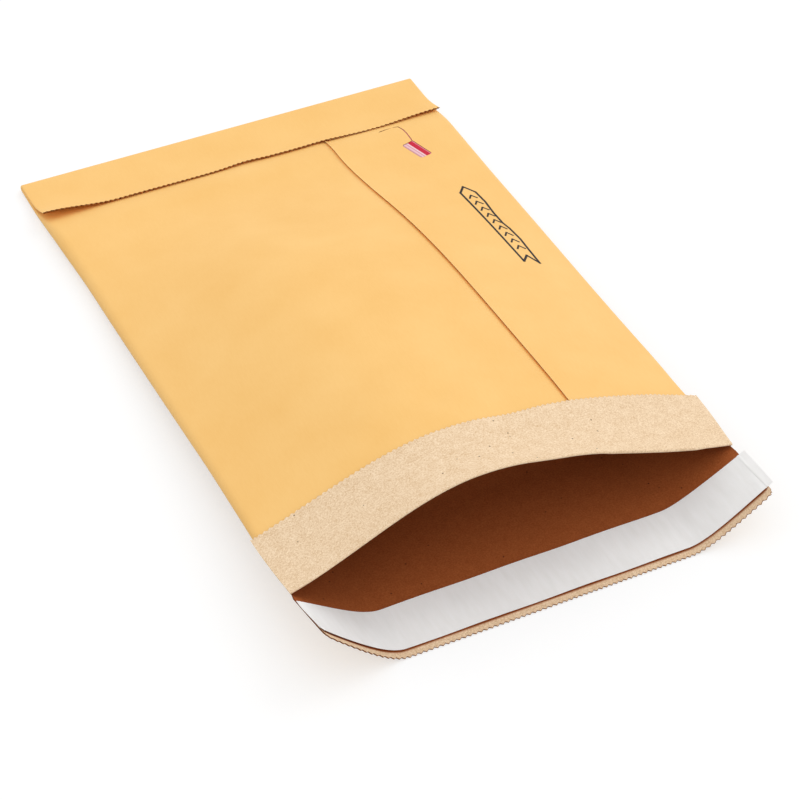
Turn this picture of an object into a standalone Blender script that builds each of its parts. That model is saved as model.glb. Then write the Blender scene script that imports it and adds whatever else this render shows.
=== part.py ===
"""Padded mailing envelope with a padded paper wall, lying open on its back panel.

Each sheet is drawn as a flat blank, ruled into columns across the tube and rows along it,
and is then laid where the folded envelope has it. The blank's column q runs round the
tube and its row v is the distance along the paper from the mouth fold: below zero on the
cuff and the closure flap, and past the bottom fold on the turned-over end.

+Y runs from the closure flap to the bottom fold and +Z is up. The origin is the middle of
the underside of the whole envelope. All lengths are in metres.
"""

import math

import bmesh
import bpy

# The envelope
TUBE_WIDTH = 0.184
POUCH_LENGTH = 0.2794
FLAP_LENGTH = 0.0305
CUFF_DEPTH = 0.0315
FOLD_OVER_DEPTH = 0.0300

# The papers, and the hairline that parts two papers that lie face to face
PLY = 0.00025
GAP = 0.00028
FOLD_GAP = 0.00050
PADDING = 0.0018

# Where the padding and the inner paper start and end, from the mouth and the bottom fold
PADDING_START = 0.0330
PADDING_RAMP = 0.0130
RAMP_START = 0.35
INNER_PAPER_END = 0.0255
SEAL_LENGTH = 0.0150

# How the open mouth stands: heights above the table
SIDE_RADIUS = 0.0034
MOUTH_SIDE_RADIUS = 0.0012
LEFT_NARROWING = 0.0010
RIGHT_NARROWING = 0.0036
POUCH_ARCH = 0.0205
MOUTH_FLARE = 0.0055
FLARE_LENGTH = 0.0340
ARCH_PEAK_X = -0.0080
ARCH_ROUNDNESS = 0.42
LIFT_LENGTH = 0.2000
LEFT_LIFT = 0.0145
RIGHT_LIFT = 0.0130
LEFT_TIP_LIFT = 0.0085
RIGHT_TIP_LIFT = 0.0045
LEFT_FLAT = 0.0590
RIGHT_FLAT = 0.0540
RISE_SOFTNESS = 0.35
FOLD_OVER_CURL = 0.0014

# The lengthwise seam and the tear tape on the front panel, measured from its right side
SEAM_FROM_SIDE = 0.0560
SEAM_OVERLAP = 0.0175
SEAM_STEP_WIDTH = 0.003987
TAPE_FROM_SIDE = 0.0248
TAPE_WIDTH = 0.0062
TAPE_INSET = 0.08
TAPE_THICKNESS = 0.00015
TAPE_START = 0.0460
TAPE_END = 0.0300

# The die-cut window that shows the end of the tape, measured from the bottom fold
WINDOW_LENGTH = 0.0128
WINDOW_WIDTH = 0.0052
WINDOW_TURN = 0.16
WINDOW_FROM_FOLD = 0.0560
WINDOW_CORNER = 0.0010

# The adhesive on the flap and the release liner that covers it
ADHESIVE_START = 0.0095
ADHESIVE_WIDTH = 0.0150
ADHESIVE_THICKNESS = 0.00015
LINER_START = 0.0075
LINER_WIDTH = 0.0188
LINER_THICKNESS = 0.00015
LINER_OVERHANG = 0.0024

# The serrated cut
TOOTH_PITCH = 0.0023
TOOTH_DEPTH = 0.0009
TOOTH_ROW = 0.0030

# How finely each sheet is ruled
SIDE_STEPS = 6
BODY_STEPS = 6
MOUTH_FOLD_STEPS = 4
BOTTOM_FOLD_STEPS = 5
SHARP_FROM = math.radians(50)

HALF_WIDTH = TUBE_WIDTH / 2
SEAM_X = HALF_WIDTH - SEAM_FROM_SIDE
TAPE_X = HALF_WIDTH - TAPE_FROM_SIDE
SEAL_HEIGHT = 3 * PLY + 2 * GAP
BOTTOM_FOLD_RADIUS = SEAL_HEIGHT + FOLD_GAP / 2
FOLD_START = POUCH_LENGTH - BOTTOM_FOLD_RADIUS
BOTTOM_FOLD_PAPER = math.pi * BOTTOM_FOLD_RADIUS / 2
MOUTH_FOLD_PAPER = math.pi * (GAP / 2 + PLY)
INNER_DEPTH = PLY + GAP
RECESS = PLY + GAP
PADDING_STOP = POUCH_LENGTH - FOLD_OVER_DEPTH
CENTRE_Y = (POUCH_LENGTH - FLAP_LENGTH) / 2

RIGHT_SLIT = 1.5
LEFT_SLIT = 4.5
ROUND = 6.0


def ease(share):
    """Go smoothly from 0 to 1 as the share goes from 0 to 1."""
    share = min(max(share, 0.0), 1.0)
    return share * share * (3.0 - 2.0 * share)


def padding_share(y):
    """How much of its full thickness the padding has, at a distance y from the mouth."""
    at_mouth = ease((y - PADDING_START) / PADDING_RAMP)
    at_bottom = ease((PADDING_STOP - y) / PADDING_RAMP)
    return at_mouth * at_bottom


def side_radius(y):
    """Radius of the folded side: tight at the mouth and the seal, full round the padding."""
    mouth = MOUTH_SIDE_RADIUS
    padded = mouth + (SIDE_RADIUS - mouth) * ease(y / (PADDING_START + PADDING_RAMP))
    seal_start = POUCH_LENGTH - SEAL_LENGTH
    ramp_start = PADDING_STOP - PADDING_RAMP
    flattened = ease((y - ramp_start) / (seal_start - ramp_start))
    return padded + (SEAL_HEIGHT / 2 - padded) * flattened


def arch_rise(y):
    """Height of the front panel's arch above its own side folds."""
    pillow = (max(y, 0.0) / (PADDING_STOP - PADDING_RAMP)) ** 3
    flare = max(0.0, 1.0 - max(y, 0.0) / FLARE_LENGTH) ** 2
    return POUCH_ARCH * (1.0 - ease(pillow)) + MOUTH_FLARE * flare


def side_lift(y, at_mouth, at_tip):
    """Height of the back panel's edge above the table; it curls on past the mouth."""
    if y < 0.0:
        return at_mouth + at_tip * (-y / FLAP_LENGTH)
    return at_mouth * max(0.0, 1.0 - y / LIFT_LENGTH) ** 1.25


class Section:
    """Outline across the envelope at a distance y from the mouth."""

    def __init__(self, y):
        inside = max(y, 0.0)
        self.radius = side_radius(inside)
        openness = max(0.0, 1.0 - inside / (PADDING_START * 2)) ** 2
        right_lift = side_lift(y, RIGHT_LIFT, RIGHT_TIP_LIFT)
        left_lift = side_lift(y, LEFT_LIFT, LEFT_TIP_LIFT)
        self.sides = {
            1: self.side(right_lift, RIGHT_FLAT, RIGHT_NARROWING * openness, ARCH_PEAK_X),
            -1: self.side(left_lift, LEFT_FLAT, LEFT_NARROWING * openness, -ARCH_PEAK_X),
        }
        shoulder = (self.sides[1]["shoulder"] + self.sides[-1]["shoulder"]) / 2
        self.peak = shoulder + arch_rise(y)
        for side in self.sides.values():
            slope = 2 * ARCH_ROUNDNESS * (self.peak - side["shoulder"]) / side["reach"]
            side["fall"] = math.atan(slope)

    def side(self, lift, flat, narrowing, peak_x):
        """Measures of one side, as if it were the right one."""
        centre_x = HALF_WIDTH - narrowing - self.radius
        slope = lift / (centre_x - flat) * self.rise_slope(1.0)
        return {
            "centre_x": centre_x,
            "lift": lift,
            "flat": flat,
            "climb": math.atan(slope),
            "centre_z": lift + self.radius * math.cos(math.atan(slope)),
            "shoulder": lift + self.radius * (1.0 + math.cos(math.atan(slope))),
            "peak_x": peak_x,
            "reach": centre_x - peak_x,
        }

    def rise_height(self, share):
        full = math.hypot(1.0, RISE_SOFTNESS) - RISE_SOFTNESS
        return (math.hypot(share, RISE_SOFTNESS) - RISE_SOFTNESS) / full

    def rise_slope(self, share):
        full = math.hypot(1.0, RISE_SOFTNESS) - RISE_SOFTNESS
        return share / math.hypot(share, RISE_SOFTNESS) / full

    def top(self, side, share):
        """Front panel, at a share of the way from the middle to the side fold."""
        end = side["centre_x"] + self.radius * math.sin(side["fall"])
        x = share * end
        drop = self.radius * (1.0 - math.cos(side["fall"]))
        s = (x - side["peak_x"]) / (end - side["peak_x"])
        bump = ARCH_ROUNDNESS * (1.0 - s * s)
        bump += (1.0 - ARCH_ROUNDNESS) * math.cos(math.pi * s / 2) ** 2
        bump_slope = -2.0 * ARCH_ROUNDNESS * s
        bump_slope -= (1.0 - ARCH_ROUNDNESS) * math.pi / 2 * math.sin(math.pi * s)
        low = side["shoulder"] - drop
        slope = (self.peak - low) * bump_slope / (end - side["peak_x"])
        length = math.hypot(slope, 1.0)
        return x, low + (self.peak - low) * bump, -slope / length, 1.0 / length

    def bottom(self, side, share):
        """Back panel: flat on the table, then rising to the side fold."""
        end = side["centre_x"] + self.radius * math.sin(side["climb"])
        x = share * end
        rise = max(0.0, (x - side["flat"]) / (end - side["flat"]))
        slope = side["lift"] * self.rise_slope(rise) / (end - side["flat"])
        length = math.hypot(slope, 1.0)
        return x, side["lift"] * self.rise_height(rise), slope / length, -1.0 / length

    def fold(self, side, share):
        """Rounded side fold, from the front panel at 0 to the back panel at 1."""
        start = math.pi / 2 - side["fall"]
        stop = -math.pi / 2 + side["climb"]
        angle = start + share * (stop - start)
        across, up = math.cos(angle), math.sin(angle)
        x = side["centre_x"] + self.radius * across
        return x, side["centre_z"] + self.radius * up, across, up

    def front_tongue(self, side, share):
        """The slit edge of the cuff runs straight on from the front panel."""
        x, height, across, up = self.fold(side, 0.0)
        length = share * self.radius * (math.pi - side["fall"] - side["climb"])
        return x + length * up, height - length * across, across, up

    def back_tongue(self, side, share):
        """The slit edge of the flap runs straight on from the back panel."""
        x, height, across, up = self.fold(side, 1.0)
        length = (1.0 - share) * self.radius * (math.pi - side["fall"] - side["climb"])
        return x - length * up, height + length * across, across, up

    def outline(self, q, slit=""):
        """Point and outward direction at column q, as x, height, across and up."""
        q = (q + 1.0) % ROUND - 1.0
        hand = 1 if q < 3.0 else -1
        if q <= 1.0:
            hand = 1 if q >= 0.0 else -1
        side = self.sides[hand]
        folds = {"": self.fold, "cuff": self.front_tongue, "flap": self.back_tongue}
        if q <= 1.0 and slit != "flap":
            x, height, across, up = self.top(side, abs(q))
        elif 2.0 <= q <= 4.0:
            x, height, across, up = self.bottom(side, abs(3.0 - q))
        else:
            x, height, across, up = folds[slit](side, q - 1.0 if hand > 0 else 5.0 - q)
        return hand * x, height, hand * across, up


def set_in(section, q, depth, slit=""):
    """Point a given depth inside the outline."""
    x, height, across, up = section.outline(q, slit)
    return x - across * depth, height - up * depth


def lay_tube(q, v, depth):
    """Body of the tube, the bottom fold and the end that is turned over the front panel."""
    turned = v - FOLD_START - BOTTOM_FOLD_PAPER
    section = Section(min(v, FOLD_START))
    x, height = set_in(section, q, depth)
    if v <= FOLD_START:
        return x, v - CENTRE_Y, height
    if turned < 0.0:
        angle = math.pi * (v - FOLD_START) / BOTTOM_FOLD_PAPER
        reach = BOTTOM_FOLD_RADIUS - height
        y = FOLD_START + reach * math.sin(angle)
        return x, y - CENTRE_Y, BOTTOM_FOLD_RADIUS - reach * math.cos(angle)
    y = FOLD_START - turned
    under = Section(y).peak + FOLD_GAP
    curl = FOLD_OVER_CURL * (turned / FOLD_OVER_DEPTH) ** 2 * (x / HALF_WIDTH) ** 8
    return x, y - CENTRE_Y, under + curl + SEAL_HEIGHT - height


def lay_cuff(q, v, depth):
    """Front panel past the mouth: folded outwards and back over itself."""
    laid_back = -v - MOUTH_FOLD_PAPER
    if laid_back < 0.0:
        angle = math.pi * -v / MOUTH_FOLD_PAPER
        reach = GAP / 2 + depth
        slit = "cuff" if v < 0.0 else ""
        x, height = set_in(Section(0.0), q, reach * math.cos(angle) - GAP / 2, slit)
        return x, -reach * math.sin(angle) - CENTRE_Y, height
    x, height = set_in(Section(laid_back), q, -GAP - depth, "cuff")
    return x, laid_back - CENTRE_Y, height


def lay_flap(q, v, depth):
    """Back panel past the mouth: the closure flap, its ends curling up."""
    slit = "flap" if v < 0.0 else ""
    x, height = set_in(Section(v), q, depth, slit)
    return x, v - CENTRE_Y, height


def top_column(x):
    """Column of the front panel at a distance x to the right of the middle."""
    return x / (HALF_WIDTH - SIDE_RADIUS)


SEAM_COLUMN = top_column(SEAM_X)
OVERLAP_COLUMN = top_column(SEAM_X + SEAM_OVERLAP)
TAPE_LEFT_COLUMN = top_column(TAPE_X - TAPE_WIDTH / 2)
TAPE_RIGHT_COLUMN = top_column(TAPE_X + TAPE_WIDTH / 2)
SEAM_RAMP = top_column(SEAM_STEP_WIDTH)


def tucked(q):
    """Share of the step inwards that a paper has taken at column q, under the seam."""
    return min(max((q - SEAM_COLUMN + SEAM_RAMP) / SEAM_RAMP, 0.0), 1.0)


def recess(q):
    """Step inwards of the layers under the seam's overlap and the tear tape."""
    q = (q + 1.0) % ROUND - 1.0
    if q > 1.0:
        return 0.0
    out_again = min(max((TAPE_RIGHT_COLUMN + 2 * SEAM_RAMP - q) / SEAM_RAMP, 0.0), 1.0)
    return RECESS * min(tucked(q), out_again)


def outer_depth(q, v):
    """The outer paper tucks under its own free edge at the seam."""
    return RECESS * tucked(q - ROUND)


def inner_depth(q, v):
    """The inner paper lies under the outer one, or under the padding where there is any."""
    share = padding_share(v)
    return INNER_DEPTH + recess(q) + (PADDING + GAP) * share


def between(start, stop, steps):
    """Even steps from start to stop, both included."""
    return [start + (stop - start) * step / steps for step in range(steps + 1)]


def joined(*runs):
    """Rising runs of values one after another, without the repeated ends."""
    values = []
    for run in runs:
        for value in run:
            if not values or value > values[-1] + 1e-9:
                values.append(value)
    return values


def front_right_columns():
    """From the seam's free edge to the right side fold."""
    outer = between(TAPE_RIGHT_COLUMN + 2 * SEAM_RAMP, 1.0, 1)
    tape = [TAPE_LEFT_COLUMN, TAPE_RIGHT_COLUMN, TAPE_RIGHT_COLUMN + SEAM_RAMP]
    return joined([SEAM_COLUMN, OVERLAP_COLUMN], tape, outer)


def front_left_columns():
    """From the left side fold to the seam's step, one turn on."""
    return [ROUND + q for q in between(-1.0, SEAM_COLUMN - SEAM_RAMP, 8)]


def back_columns():
    """Across the back panel from right to left: rise, flat, rise."""
    right = between(2.0, 3.0 - RIGHT_FLAT / (HALF_WIDTH - SIDE_RADIUS), 4)
    left = between(3.0 + LEFT_FLAT / (HALF_WIDTH - SIDE_RADIUS), 4.0, 4)
    return joined(right, between(right[-1], left[0], 3), left)


def side_columns(start):
    return between(start, start + 1.0, SIDE_STEPS)


def sheet_columns():
    """All round the outer paper, from its free edge to the edge tucked under it."""
    tuck = [ROUND + SEAM_COLUMN, ROUND + OVERLAP_COLUMN]
    round_back = joined(side_columns(1.0), back_columns(), side_columns(4.0))
    return joined(front_right_columns(), round_back, front_left_columns(), tuck)


def tube_columns():
    """Once round a closed tube, from the right slit and back to it."""
    front = [ROUND + q for q in joined(front_right_columns(), side_columns(1.0))]
    round_back = joined(side_columns(1.0), back_columns(), side_columns(4.0))
    once = joined(round_back, front_left_columns(), front)
    return [q for q in once if RIGHT_SLIT - 1e-9 <= q <= RIGHT_SLIT + ROUND + 1e-9]


def picked(columns, start, stop):
    """The columns from start to stop."""
    return [q for q in columns if start - 1e-9 <= q <= stop + 1e-9]


def cuff_stations():
    """Distances from the mouth at which the cuff and what lies under it are ruled."""
    return between(0.0, CUFF_DEPTH - TOOTH_ROW, 2) + [CUFF_DEPTH]


def body_rows(stop):
    """Rows of the tube from the mouth fold up to a distance stop."""
    padded = PADDING_START + PADDING_RAMP
    padding_full = PADDING_STOP - PADDING_RAMP
    edge = POUCH_LENGTH - FOLD_OVER_DEPTH
    start = [padding_first(), padded]
    middle = between(padded, padding_full, BODY_STEPS)
    end = [padding_last(), edge, edge + TOOTH_ROW, POUCH_LENGTH - SEAL_LENGTH, FOLD_START]
    rows = joined(cuff_stations(), start, middle, end)
    return [v for v in rows if v <= stop + 1e-9]


def padding_first():
    """Where the padding starts, already a little way up its ramp."""
    return PADDING_START + RAMP_START * PADDING_RAMP


def padding_last():
    return PADDING_STOP - RAMP_START * PADDING_RAMP


def turned_rows():
    """Rows of the bottom fold and of the turned-over end, in line with those below."""
    bend = between(FOLD_START, FOLD_START + BOTTOM_FOLD_PAPER, BOTTOM_FOLD_STEPS)
    edge = POUCH_LENGTH - FOLD_OVER_DEPTH
    stations = [POUCH_LENGTH - SEAL_LENGTH, edge + TOOTH_ROW, edge]
    return joined(bend, [bend[-1] + FOLD_START - y for y in stations])


def cuff_rows():
    """Rows of the cuff, from its cut edge to the mouth fold."""
    bend = between(-MOUTH_FOLD_PAPER, 0.0, MOUTH_FOLD_STEPS)
    laid = [-MOUTH_FOLD_PAPER - y for y in reversed(cuff_stations())]
    return joined(laid, bend)


def flap_rows():
    """Rows of the flap, from its cut edge to the mouth."""
    return [-FLAP_LENGTH] + between(TOOTH_ROW - FLAP_LENGTH, 0.0, 2)


def inward(vert, edge):
    """Way from a vertex on the cut edge to the next row of the paper."""
    ring = edge.link_faces[0].verts
    beside = [e.other_vert(vert) for e in vert.link_edges if e != edge]
    return next(v.co - vert.co for v in beside if v in ring)


def cut_teeth(edges):
    """Give laid edges a saw-tooth cut: tips on the edge, valleys drawn in along the paper."""
    valleys = {}
    for edge in edges:
        here, end = edge.verts
        start_way, end_way = inward(here, edge), inward(end, edge)
        valleys.update({here: start_way, end: end_way})
        teeth = max(1, round(edge.calc_length() / TOOTH_PITCH))
        for left in range(2 * teeth, 1, -1):
            made, point = bmesh.utils.edge_split(edge, here, 1.0 / left)
            edge = edge if here in made.verts else made
            here = point
            if left % 2 == 1:
                share = 1.0 - (left - 1) / (2 * teeth)
                valleys[point] = start_way.lerp(end_way, share)
    for vert, way in valleys.items():
        vert.co += way.normalized() * TOOTH_DEPTH


def add_panel(sheet, columns, rows, lay, serrated=False, mirrored=False):
    """Rule one rectangle of the blank, lay it in place and cut the teeth along an end row."""
    flat = bmesh.new()
    across, along = len(columns) - 1, len(rows) - 1
    bmesh.ops.create_grid(flat, x_segments=across, y_segments=along, size=0.5)
    end_row = 0.5 if rows[-1] > FOLD_START else -0.5
    ends = [e for e in flat.edges if all(abs(v.co.y - end_row) < 1e-6 for v in e.verts)]
    for vert in flat.verts:
        column = columns[round((vert.co.x + 0.5) * across)]
        vert.co = lay(column, rows[round((vert.co.y + 0.5) * along)])
    if serrated:
        cut_teeth(ends)
    flat.normal_update()
    split = "ALTERNATE" if mirrored else "FIXED"
    bmesh.ops.triangulate(flat, faces=flat.faces, quad_method=split, ngon_method="BEAUTY")
    patch = bpy.data.meshes.new("patch")
    flat.to_mesh(patch)
    flat.free()
    sheet.from_mesh(patch)
    bpy.data.meshes.remove(patch)


def material(name, colour, roughness, alpha=1.0):
    """A plain paper, film or fibre finish."""
    made = bpy.data.materials.new(name)
    made.use_nodes = True
    shader = made.node_tree.nodes["Principled BSDF"]
    shader.inputs["Base Color"].default_value = (*colour, 1.0)
    shader.inputs["Roughness"].default_value = roughness
    shader.inputs["Metallic"].default_value = 0.0
    shader.inputs["Alpha"].default_value = alpha
    made.diffuse_color = (*colour, 1.0)
    return made


def finish_sheet(name, sheet, thickness, finish, collection):
    """Turn the laid surface into an object and give the paper its thickness."""
    bmesh.ops.remove_doubles(sheet, verts=sheet.verts, dist=1e-6)
    mesh = bpy.data.meshes.new(name)
    sheet.to_mesh(mesh)
    sheet.free()
    mesh.shade_smooth()
    mesh.set_sharp_from_angle(angle=SHARP_FROM)
    mesh.materials.append(finish)
    made = bpy.data.objects.new(name, mesh)
    collection.objects.link(made)
    wall = made.modifiers.new("thickness", "SOLIDIFY")
    wall.thickness = thickness
    wall.offset = -1.0
    wall.use_quality_normals = True
    return made


def at_depth(lay, depth):
    """Lay a blank at a depth that varies over the blank."""
    return lambda q, v: lay(q, v, depth(q, v))


def outer_sleeve(collection, finish):
    """Gold outer paper: tube, seam, cuff, flap and turned-over end in one sheet."""
    sheet = bmesh.new()
    columns = sheet_columns()
    add_panel(sheet, columns, body_rows(FOLD_START), at_depth(lay_tube, outer_depth))
    turned = turned_rows()
    turned_panels = (
        (columns[0], 2.0, False),
        (2.0, 4.0, True),
        (4.0, columns[-1], False),
    )
    for start, stop, serrated in turned_panels:
        lay = at_depth(lay_tube, outer_depth)
        add_panel(sheet, picked(columns, start, stop), turned, lay, serrated)
    for start, stop in ((columns[0], RIGHT_SLIT), (LEFT_SLIT, columns[-1])):
        lay = at_depth(lay_cuff, outer_depth)
        add_panel(sheet, picked(columns, start, stop), cuff_rows(), lay, mirrored=True)
    lay = at_depth(lay_flap, outer_depth)
    add_panel(sheet, picked(columns, RIGHT_SLIT, LEFT_SLIT), flap_rows(), lay)
    return finish_sheet("outer_sleeve", sheet, PLY, finish, collection)


def inner_paper(collection, finish):
    """Tan inner paper: it lines the pouch and faces the cuff and the flap."""
    sheet = bmesh.new()
    columns = tube_columns()
    rows = body_rows(POUCH_LENGTH - INNER_PAPER_END)
    add_panel(sheet, columns, rows, at_depth(lay_tube, inner_depth))
    front = picked(columns, LEFT_SLIT, RIGHT_SLIT + ROUND)
    add_panel(sheet, front, cuff_rows(), at_depth(lay_cuff, inner_depth), True, mirrored=True)
    back = picked(columns, RIGHT_SLIT, LEFT_SLIT)
    add_panel(sheet, back, flap_rows(), at_depth(lay_flap, inner_depth), True)
    return finish_sheet("inner_paper", sheet, PLY, finish, collection)


def fibre_padding(collection, finish):
    """Shredded-fibre padding between the papers, thinning out at both ends."""
    sheet = bmesh.new()
    rows = [v for v in body_rows(padding_last()) if v >= padding_first() - 1e-9]
    lay = at_depth(lay_tube, lambda q, v: INNER_DEPTH + recess(q))
    add_panel(sheet, tube_columns(), rows, lay)
    made = finish_sheet("fibre_padding", sheet, PADDING, finish, collection)
    fill = made.vertex_groups.new(name="fill")
    for vert in made.data.vertices:
        share = padding_share(vert.co.y + CENTRE_Y)
        left = (PADDING + GAP) * share - GAP
        fill.add([vert.index], left / PADDING, "REPLACE")
    made.modifiers["thickness"].vertex_group = fill.name
    return made


def tear_tape(collection, finish):
    """Tear tape under the outer paper, along the right of the front panel."""
    sheet = bmesh.new()
    inset = TAPE_INSET * (TAPE_RIGHT_COLUMN - TAPE_LEFT_COLUMN)
    columns = [TAPE_LEFT_COLUMN + inset, TAPE_RIGHT_COLUMN - inset]
    rows = [v for v in body_rows(POUCH_LENGTH - TAPE_END) if v >= TAPE_START - 1e-9]
    add_panel(sheet, columns, rows, at_depth(lay_tube, lambda q, v: INNER_DEPTH))
    return finish_sheet("tear_tape", sheet, TAPE_THICKNESS, finish, collection)


def flap_strip(name, size, depth, collection, finish):
    """A strip along the flap's inner face, ruled like the flap so that it lies close."""
    start, width, thickness, overhang = size
    sheet = bmesh.new()
    section = Section(-start)
    side = section.sides[1]
    tongue = section.radius * (math.pi - side["fall"] - side["climb"])
    columns = picked(tube_columns(), 2.0, LEFT_SLIT)
    if overhang > 0.0:
        columns = [RIGHT_SLIT - overhang / tongue] + picked(tube_columns(), RIGHT_SLIT, LEFT_SLIT)
    between_edges = [v for v in flap_rows() if -(start + width) < v < -start]
    rows = [-(start + width)] + between_edges + [-start]
    add_panel(sheet, columns, rows, at_depth(lay_flap, lambda q, v: depth))
    return finish_sheet(name, sheet, thickness, finish, collection)


def cut_window(sleeve, cutters):
    """Cut the tab window through the front of the outer paper."""
    y = POUCH_LENGTH - WINDOW_FROM_FOLD
    x, height = set_in(Section(y), top_column(TAPE_X), 0.0)
    bpy.ops.mesh.primitive_cube_add(size=1.0, location=(x, y - CENTRE_Y, height))
    cutter = bpy.context.object
    cutter.name = "tab_window_cutter"
    cutter.scale = (WINDOW_WIDTH, WINDOW_LENGTH, SIDE_RADIUS)
    cutter.rotation_euler.z = WINDOW_TURN
    bpy.ops.object.transform_apply(location=False, rotation=False, scale=True)
    edges = bmesh.new()
    edges.from_mesh(cutter.data)
    upright = [e for e in edges.edges if abs(e.verts[0].co.z - e.verts[1].co.z) > WINDOW_CORNER]
    bmesh.ops.bevel(
        edges, geom=upright, offset=WINDOW_CORNER, segments=3, affect="EDGES", profile=0.5
    )
    edges.to_mesh(cutter.data)
    edges.free()
    for collection in cutter.users_collection:
        collection.objects.unlink(cutter)
    cutters.objects.link(cutter)
    cutter.hide_render = True
    cutter.display_type = "WIRE"
    window = sleeve.modifiers.new("tab window", "BOOLEAN")
    window.operation = "DIFFERENCE"
    window.solver = "EXACT"
    window.object = cutter


def build():
    for item in list(bpy.data.objects):
        bpy.data.objects.remove(item, do_unlink=True)
    parts = bpy.data.collections.new("padded_envelope")
    cutters = bpy.data.collections.new("cutters")
    for collection in (parts, cutters):
        bpy.context.scene.collection.children.link(collection)
    gold = material("gold kraft paper", (0.95, 0.58, 0.22), 0.72)
    tan = material("recycled tan kraft paper", (0.84, 0.62, 0.39), 0.85)
    fibre = material("shredded paper fibre", (0.42, 0.39, 0.36), 0.95)
    red = material("red tear tape film", (0.80, 0.05, 0.08), 0.35)
    glue = material("clear tacky adhesive", (0.86, 0.84, 0.76), 0.20, 0.8)
    liner = material("silicone-coated release paper", (0.80, 0.80, 0.78), 0.40)
    sleeve = outer_sleeve(parts, gold)
    cut_window(sleeve, cutters)
    inner_paper(parts, tan)
    fibre_padding(parts, fibre)
    tear_tape(parts, red)
    glue_depth = INNER_DEPTH + PLY + GAP
    liner_depth = glue_depth + ADHESIVE_THICKNESS + GAP
    glue_size = (ADHESIVE_START, ADHESIVE_WIDTH, ADHESIVE_THICKNESS, 0.0)
    flap_strip("adhesive_strip", glue_size, glue_depth, parts, glue)
    liner_size = (LINER_START, LINER_WIDTH, LINER_THICKNESS, LINER_OVERHANG)
    flap_strip("release_liner", liner_size, liner_depth, parts, liner)


build()
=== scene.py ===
# %% [markdown]
# # A padded envelope
#
# The object is a paper mailer that lies open on its back panel. Two papers with a layer of
# shredded fibre between them are folded into a flat tube. At one end the front panel is
# turned back as a cuff and the back panel runs on as a closure flap; the other end is turned
# over and glued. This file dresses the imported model: each coarse sheet of the model gets a
# finely ruled twin of the same shape, and each finish is built from nodes.

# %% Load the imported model
import functools
import math

import bpy
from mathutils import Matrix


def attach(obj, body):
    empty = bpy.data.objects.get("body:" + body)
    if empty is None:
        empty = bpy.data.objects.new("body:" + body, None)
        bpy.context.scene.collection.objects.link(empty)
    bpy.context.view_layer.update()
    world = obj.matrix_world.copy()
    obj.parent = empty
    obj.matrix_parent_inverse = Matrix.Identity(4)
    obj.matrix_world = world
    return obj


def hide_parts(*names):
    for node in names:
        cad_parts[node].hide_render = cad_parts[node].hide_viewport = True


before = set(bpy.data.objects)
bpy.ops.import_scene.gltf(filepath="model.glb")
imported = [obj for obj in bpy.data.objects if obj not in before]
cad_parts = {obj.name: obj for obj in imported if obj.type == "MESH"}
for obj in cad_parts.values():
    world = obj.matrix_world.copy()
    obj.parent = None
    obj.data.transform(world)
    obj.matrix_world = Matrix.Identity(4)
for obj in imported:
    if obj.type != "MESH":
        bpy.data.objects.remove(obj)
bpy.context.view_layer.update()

print("nodes:", sorted(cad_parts))

# %% [markdown]
# ## Camera
#
# The camera looks from the front left, about a metre away, through a long lens. A Blender
# camera that isn't turned looks straight down, along its own -Z. Three turns aim it: about
# its line of sight for the roll, then up from the table, then round to the azimuth.

# %% Camera
from mathutils import Matrix, Vector

CAMERA_AZIMUTH = math.radians(-26.36)
CAMERA_ELEVATION = math.radians(42.26)
CAMERA_ROLL = math.radians(0.62)
CAMERA_DISTANCE = 0.983
CAMERA_TARGET = Vector((-0.0045, -0.0334, 0.0))
CAMERA_LENS_MM = 114.4
SENSOR_MM = 36.0


def add_camera():
    """Camera at the viewing angle of the picture."""
    roll = Matrix.Rotation(CAMERA_ROLL, 3, "Z")
    tip_up = Matrix.Rotation(math.pi / 2 - CAMERA_ELEVATION, 3, "X")
    turn = Matrix.Rotation(CAMERA_AZIMUTH, 3, "Z") @ tip_up @ roll
    place = CAMERA_TARGET + turn @ Vector((0.0, 0.0, CAMERA_DISTANCE))
    bpy.ops.object.camera_add(location=place, rotation=turn.to_euler())
    camera = bpy.context.object
    camera.data.lens = CAMERA_LENS_MM
    camera.data.sensor_width = SENSOR_MM
    camera.data.sensor_fit = "HORIZONTAL"
    bpy.context.scene.camera = camera
    return camera


camera = add_camera()
print("camera at, mm:", [round(value * 1000) for value in camera.location])

# %% [markdown]
# ## Nodes and colours
#
# Colours are picked as sRGB hex values, as a designer reads them from a swatch, while a
# shader works in linear light, so one function turns one into the other. A second function
# adds a node, sets it, links it and colours its ramp. Most finishes here are one noise that
# drives a ramp and sometimes a bump, so that chain is written once.

# %% Colour and node helpers
SRGB_KNEE = 0.04045
SRGB_SLOPE = 12.92
SRGB_OFFSET = 0.055
SRGB_POWER = 2.4


def linear(hex_colour):
    """Linear red, green, blue and alpha of an sRGB colour such as #FAC97F."""
    channels = []
    for start in (1, 3, 5):
        value = int(hex_colour[start:start + 2], 16) / 255
        if value <= SRGB_KNEE:
            channels.append(value / SRGB_SLOPE)
        else:
            channels.append(((value + SRGB_OFFSET) / (1 + SRGB_OFFSET)) ** SRGB_POWER)
    return (*channels, 1.0)


def add_node(tree, kind, settings, links=None, stops=()):
    """Add a node, set its properties or sockets, link its inputs, and colour its ramp."""
    node = tree.nodes.new(kind)
    for name, value in settings.items():
        if isinstance(name, str) and hasattr(node, name):
            setattr(node, name, value)
        else:
            node.inputs[name].default_value = value
    for name, output in (links or {}).items():
        tree.links.new(output, node.inputs[name])
    for number, (position, colour) in enumerate(stops):
        elements = node.color_ramp.elements
        element = elements[number] if number < 2 else elements.new(position)
        element.position = position
        element.color = linear(colour)
    return node


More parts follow.
